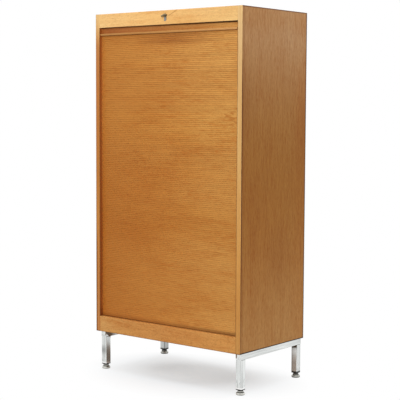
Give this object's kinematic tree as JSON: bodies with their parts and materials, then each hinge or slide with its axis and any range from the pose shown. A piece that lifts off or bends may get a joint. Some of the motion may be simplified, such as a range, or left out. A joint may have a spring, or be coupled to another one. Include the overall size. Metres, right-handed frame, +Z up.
{
  "type": "tambour door cabinet",
  "caption": "Tall oak storage cabinet on a chromed square-tube base, with a slatted tambour front that pulls down from a locking lead rail.",
  "frame": {"origin": "centre of the whole part's outline, key included, at floor level", "axes": "+Z up, -Y towards the front, +X to the right as seen from the front"},
  "size_m": [0.75, 0.448, 1.473],
  "materials": {
    "side_veneer": "satin lacquered oak veneer, grain upright",
    "solid_oak": "satin lacquered oak, grain across",
    "tambour_veneer": "satin lacquered oak veneer in narrow slats on canvas",
    "inner_board": "satin veneered board",
    "chrome": "polished chrome plate",
    "nickel": "nickel plate",
    "black_plastic": "moulded black plastic"
  },
  "bodies": {
    "case": {"side_panel_left": "side_veneer", "side_panel_right": "side_veneer", "top_rail": "solid_oak", "bottom_rail": "solid_oak", "top_panel": "inner_board", "bottom_panel": "inner_board", "cabinet_floor": "inner_board", "inner_back": "inner_board", "back_panel": "inner_board", "shelf_1": "inner_board", "shelf_2": "inner_board", "shelf_3": "inner_board", "shelf_pin_1_front_left": "nickel", "shelf_pin_1_back_left": "nickel", "shelf_pin_1_front_right": "nickel", "shelf_pin_1_back_right": "nickel", "shelf_pin_2_front_left": "nickel", "shelf_pin_2_back_left": "nickel", "shelf_pin_2_front_right": "nickel", "shelf_pin_2_back_right": "nickel", "shelf_pin_3_front_left": "nickel", "shelf_pin_3_back_left": "nickel", "shelf_pin_3_front_right": "nickel", "shelf_pin_3_back_right": "nickel", "tambour_curtain": "tambour_veneer", "lock_barrel": "nickel", "lock_nut": "nickel", "escutcheon": "nickel", "base_rail_left": "chrome", "base_rail_right": "chrome", "rail_end_front_left": "chrome", "rail_end_back_left": "chrome", "rail_end_front_right": "chrome", "rail_end_back_right": "chrome", "cross_rail_front": "chrome", "cross_rail_back": "chrome", "leg_front_left": "chrome", "leg_front_right": "chrome", "leg_back_left": "chrome", "leg_back_right": "chrome", "leg_insert_front_left": "black_plastic", "leg_insert_front_right": "black_plastic", "leg_insert_back_left": "black_plastic", "leg_insert_back_right": "black_plastic"},
    "door": {"lead_rail": "solid_oak", "strike_hook": "nickel"},
    "key": {"lock_plug": "nickel", "lock_cam": "nickel", "key": "nickel"},
    "pad_front_left": {"foot_pad_front_left": "nickel"},
    "stud_front_left": {"foot_stud_front_left": "nickel"},
    "pad_front_right": {"foot_pad_front_right": "nickel"},
    "stud_front_right": {"foot_stud_front_right": "nickel"},
    "pad_back_left": {"foot_pad_back_left": "nickel"},
    "stud_back_left": {"foot_stud_back_left": "nickel"},
    "pad_back_right": {"foot_pad_back_right": "nickel"},
    "stud_back_right": {"foot_stud_back_right": "nickel"}
  },
  "joints": [
    {"name": "door_slide", "type": "slide", "parent": "case", "child": "door", "axis": [0, 0, -1], "range_m": [0, 1.156], "deforming": ["tambour_curtain"]},
    {"name": "key_turn", "type": "hinge", "parent": "case", "child": "key", "pos_m": [0, -0.206, 1.452], "axis": [0, 1, 0], "range_deg": [0, 90]},
    {"name": "foot_height_front_left", "type": "slide", "parent": "case", "child": "pad_front_left", "axis": [0, 0, -1], "range_m": [0, 0.01]},
    {"name": "foot_screw_front_left", "type": "hinge", "parent": "pad_front_left", "child": "stud_front_left", "pos_m": [-0.3525, -0.1705, 0], "axis": [0, 0, -1], "range_deg": [0, 2880]},
    {"name": "foot_height_front_right", "type": "slide", "parent": "case", "child": "pad_front_right", "axis": [0, 0, -1], "range_m": [0, 0.01]},
    {"name": "foot_screw_front_right", "type": "hinge", "parent": "pad_front_right", "child": "stud_front_right", "pos_m": [0.3525, -0.1705, 0], "axis": [0, 0, -1], "range_deg": [0, 2880]},
    {"name": "foot_height_back_left", "type": "slide", "parent": "case", "child": "pad_back_left", "axis": [0, 0, -1], "range_m": [0, 0.01]},
    {"name": "foot_screw_back_left", "type": "hinge", "parent": "pad_back_left", "child": "stud_back_left", "pos_m": [-0.3525, 0.2065, 0], "axis": [0, 0, -1], "range_deg": [0, 2880]},
    {"name": "foot_height_back_right", "type": "slide", "parent": "case", "child": "pad_back_right", "axis": [0, 0, -1], "range_m": [0, 0.01]},
    {"name": "foot_screw_back_right", "type": "hinge", "parent": "pad_back_right", "child": "stud_back_right", "pos_m": [0.3525, 0.2065, 0], "axis": [0, 0, -1], "range_deg": [0, 2880]}
  ],
  "couplings": [
    {"joint": "foot_screw_front_left", "follows": "foot_height_front_left", "rad_per_m": 5026.5},
    {"joint": "foot_screw_front_right", "follows": "foot_height_front_right", "rad_per_m": 5026.5},
    {"joint": "foot_screw_back_left", "follows": "foot_height_back_left", "rad_per_m": 5026.5},
    {"joint": "foot_screw_back_right", "follows": "foot_height_back_right", "rad_per_m": 5026.5}
  ]
}
